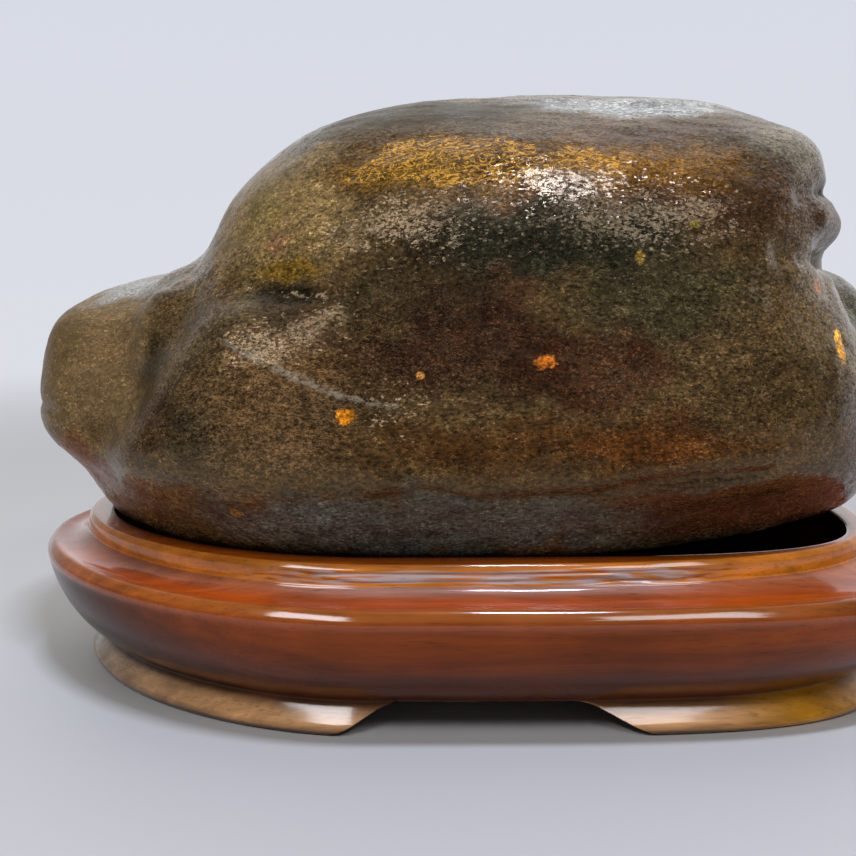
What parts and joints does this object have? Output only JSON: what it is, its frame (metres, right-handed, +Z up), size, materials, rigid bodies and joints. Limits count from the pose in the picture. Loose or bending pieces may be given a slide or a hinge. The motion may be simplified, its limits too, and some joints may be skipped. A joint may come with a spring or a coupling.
{
  "type": "scholars rock on a stand",
  "caption": "River-worn display stone with a high dome, a low left lobe and a cleft nose at its right, standing in a carved and lacquered hardwood stand.",
  "frame": {"origin": "under the middle of the object's bounding box, on the surface that the stand's feet stand on", "axes": "+X runs along the object to the rock's nose end, +Y to its back, +Z up"},
  "size_m": [0.197, 0.1166, 0.1275],
  "materials": {
    "rock": "waxed river stone, dark olive brown with ochre and red-brown patches, low gloss",
    "stand": "dark red-brown lacquered hardwood, semi gloss"
  },
  "bodies": {
    "root": {"rock": "rock", "stand": "stand"}
  },
  "joints": []
}
